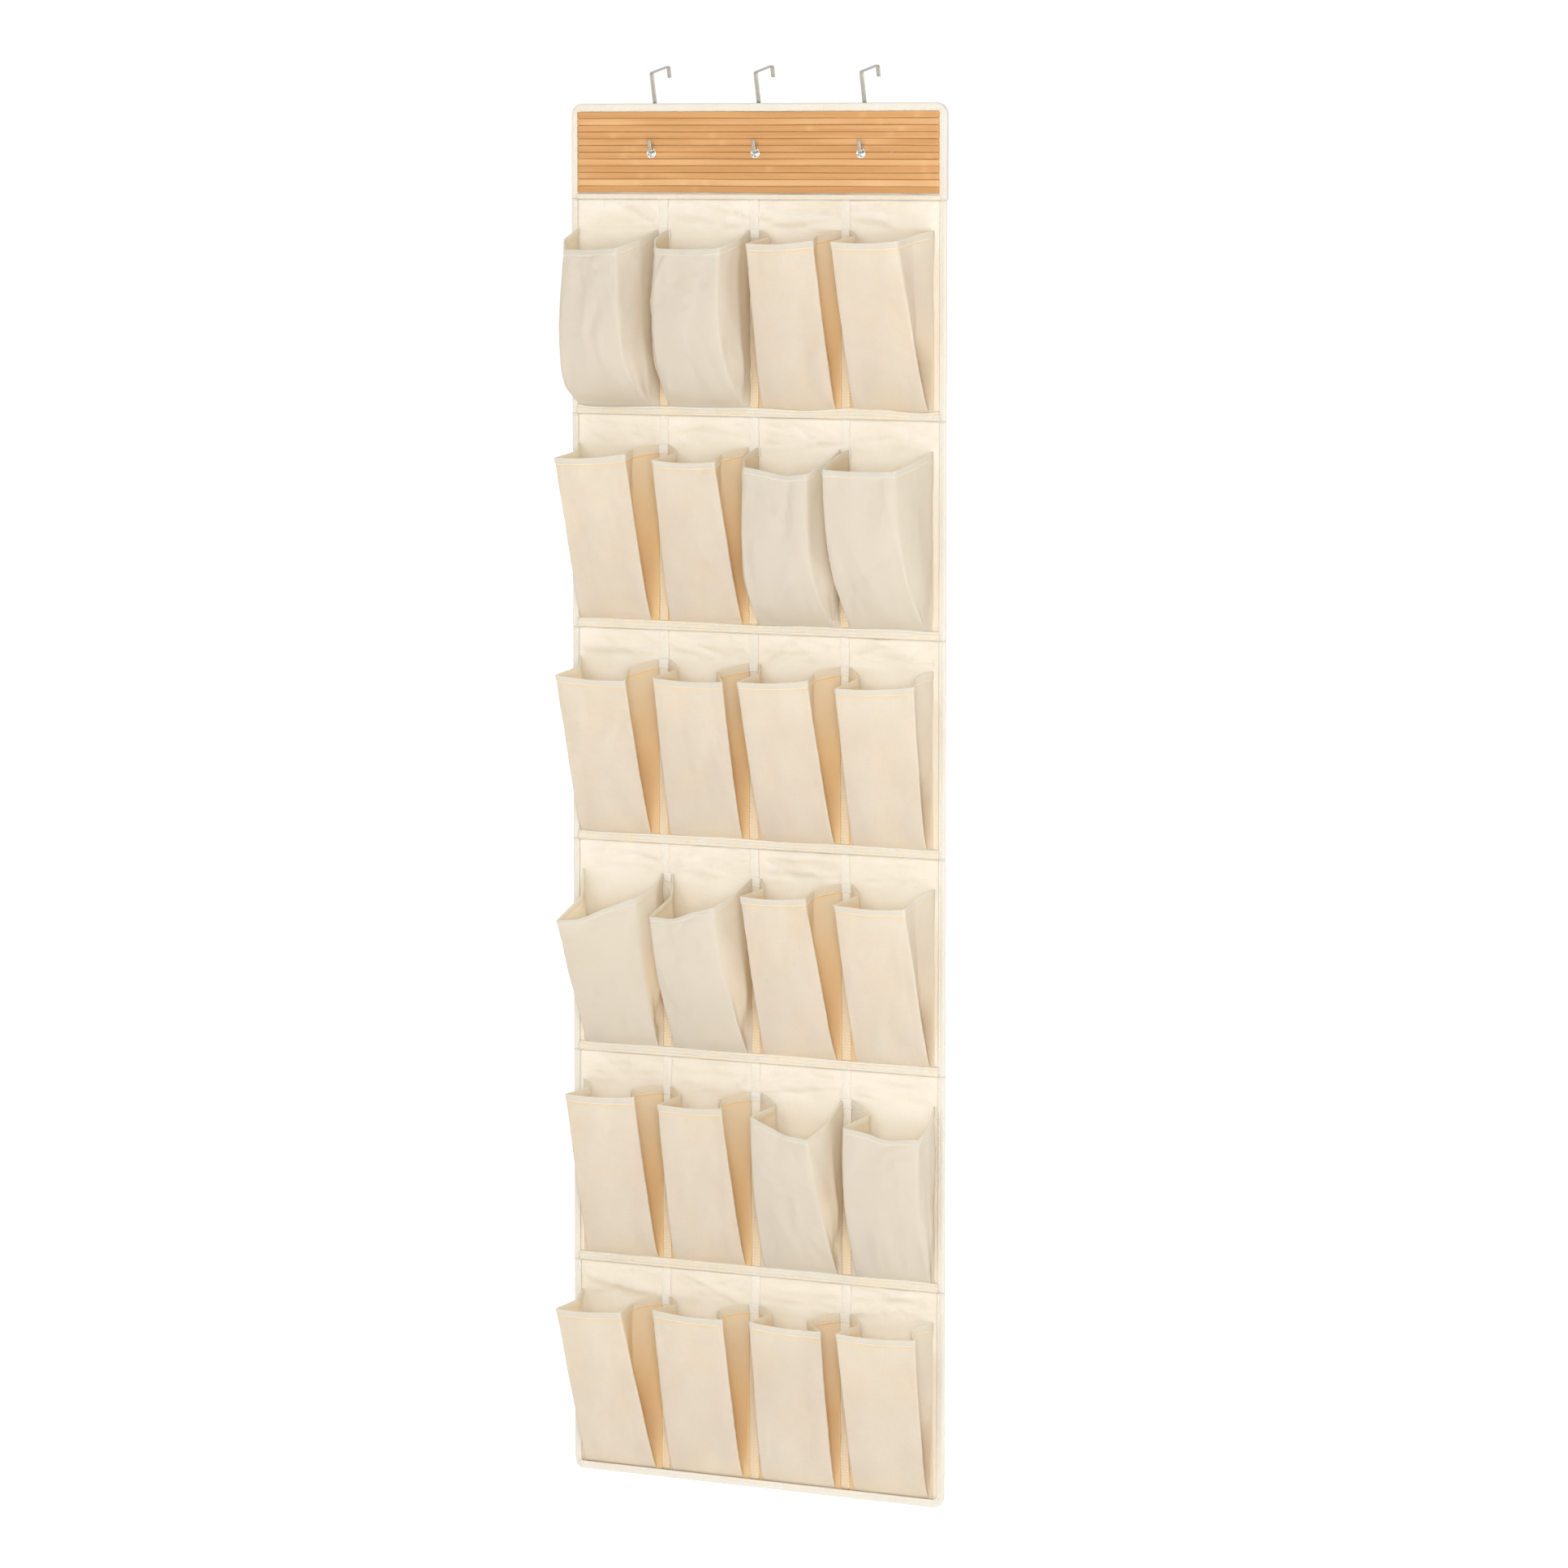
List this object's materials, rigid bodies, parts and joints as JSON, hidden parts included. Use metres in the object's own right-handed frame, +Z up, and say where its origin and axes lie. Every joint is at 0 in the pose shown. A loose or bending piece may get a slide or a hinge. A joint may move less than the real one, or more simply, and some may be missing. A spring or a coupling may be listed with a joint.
{
  "type": "over-door shoe organizer",
  "caption": "Canvas over-door organizer: slatted header on three flat steel hooks, folding rows of open pleated pockets for shoes.",
  "frame": {"origin": "middle of the underside of the middle hook's bridge, where it sits on the top edge of a door", "axes": "+Z up along the hanging sheet, pockets face -Y, +X to the viewer's right"},
  "size_m": [0.4826, 0.0935, 1.5913],
  "materials": {
    "canvas": "natural unbleached cotton canvas, plain weave",
    "pocket_canvas": "natural unbleached cotton canvas, plain weave",
    "binding_tape": "folded canvas tape with a line of stitching",
    "bamboo": "satin bamboo slats",
    "backing_cloth": "open scrim",
    "board": "grey stiffener board",
    "nickel": "bright nickel plate"
  },
  "bodies": {
    "header": {"header_cover_front": "canvas", "header_board": "board", "header_cover_back": "canvas", "header_binding": "binding_tape", "header_piping": "binding_tape", "slat_backing": "backing_cloth", "slats": "bamboo", "eyelets": "nickel", "eyelet_washers": "nickel"},
    "hook_left": {"hook_left": "nickel"},
    "hook_middle": {"hook_middle": "nickel"},
    "hook_right": {"hook_right": "nickel"},
    "row1": {"row1_sheet": "canvas", "row1_binding": "binding_tape", "row1_tape": "binding_tape", "row1_uprights": "binding_tape", "row1_pocket1": "pocket_canvas", "row1_pocket2": "pocket_canvas", "row1_pocket3": "pocket_canvas", "row1_pocket4": "pocket_canvas"},
    "row2": {"row2_sheet": "canvas", "row2_binding": "binding_tape", "row2_tape": "binding_tape", "row2_uprights": "binding_tape", "row2_pocket1": "pocket_canvas", "row2_pocket2": "pocket_canvas", "row2_pocket3": "pocket_canvas", "row2_pocket4": "pocket_canvas"},
    "row3": {"row3_sheet": "canvas", "row3_binding": "binding_tape", "row3_tape": "binding_tape", "row3_uprights": "binding_tape", "row3_pocket1": "pocket_canvas", "row3_pocket2": "pocket_canvas", "row3_pocket3": "pocket_canvas", "row3_pocket4": "pocket_canvas"},
    "row4": {"row4_sheet": "canvas", "row4_binding": "binding_tape", "row4_tape": "binding_tape", "row4_uprights": "binding_tape", "row4_pocket1": "pocket_canvas", "row4_pocket2": "pocket_canvas", "row4_pocket3": "pocket_canvas", "row4_pocket4": "pocket_canvas"},
    "row5": {"row5_sheet": "canvas", "row5_binding": "binding_tape", "row5_tape": "binding_tape", "row5_uprights": "binding_tape", "row5_pocket1": "pocket_canvas", "row5_pocket2": "pocket_canvas", "row5_pocket3": "pocket_canvas", "row5_pocket4": "pocket_canvas"},
    "row6": {"row6_sheet": "canvas", "row6_binding": "binding_tape", "row6_tape": "binding_tape", "row6_uprights": "binding_tape", "row6_pocket1": "pocket_canvas", "row6_pocket2": "pocket_canvas", "row6_pocket3": "pocket_canvas", "row6_pocket4": "pocket_canvas"}
  },
  "joints": [
    {"name": "hook_left_rock", "type": "hinge", "parent": "header", "child": "hook_left", "pos_m": [-0.135, -0.0155, -0.09086], "axis": [1, 0, 0], "range_deg": [-12, 0]},
    {"name": "hook_middle_rock", "type": "hinge", "parent": "header", "child": "hook_middle", "pos_m": [0, -0.0155, -0.09086], "axis": [1, 0, 0], "range_deg": [-12, 0]},
    {"name": "hook_right_rock", "type": "hinge", "parent": "header", "child": "hook_right", "pos_m": [0.135, -0.0155, -0.09086], "axis": [1, 0, 0], "range_deg": [-12, 0]},
    {"name": "row1_fold", "type": "hinge", "parent": "header", "child": "row1", "pos_m": [0, -0.01945, -0.14306], "axis": [1, 0, 0], "range_deg": [-45, 0]},
    {"name": "row2_fold", "type": "hinge", "parent": "row1", "child": "row2", "pos_m": [0, -0.01945, -0.38363], "axis": [1, 0, 0], "range_deg": [-45, 0]},
    {"name": "row3_fold", "type": "hinge", "parent": "row2", "child": "row3", "pos_m": [0, -0.01945, -0.62419], "axis": [1, 0, 0], "range_deg": [-45, 0]},
    {"name": "row4_fold", "type": "hinge", "parent": "row3", "child": "row4", "pos_m": [0, -0.01945, -0.86476], "axis": [1, 0, 0], "range_deg": [-45, 0]},
    {"name": "row5_fold", "type": "hinge", "parent": "row4", "child": "row5", "pos_m": [0, -0.01945, -1.10533], "axis": [1, 0, 0], "range_deg": [-45, 0]},
    {"name": "row6_fold", "type": "hinge", "parent": "row5", "child": "row6", "pos_m": [0, -0.01945, -1.34589], "axis": [1, 0, 0], "range_deg": [-45, 0]}
  ]
}
